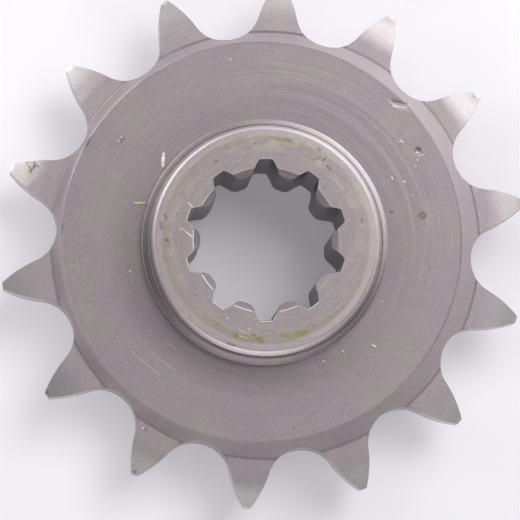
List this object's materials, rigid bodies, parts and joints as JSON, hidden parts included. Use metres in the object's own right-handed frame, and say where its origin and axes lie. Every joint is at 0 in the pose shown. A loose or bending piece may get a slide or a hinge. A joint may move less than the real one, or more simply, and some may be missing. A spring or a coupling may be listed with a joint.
{
  "type": "chain sprocket",
  "caption": "Steel roller chain sprocket in one piece, with a splined hub, a thick plate with a sloping band, and side-relieved teeth.",
  "frame": {"origin": "bore axis at the back end of the hub, where the part stands", "axes": "+Z along the bore axis towards the visible hub face, +Y through the middle of a spline groove"},
  "size_m": [0.0772, 0.078, 0.019],
  "materials": {
    "steel": "matt blasted steel with turned lines on the plate and a ground hub face"
  },
  "bodies": {
    "root": {"sprocket": "steel"}
  },
  "joints": []
}
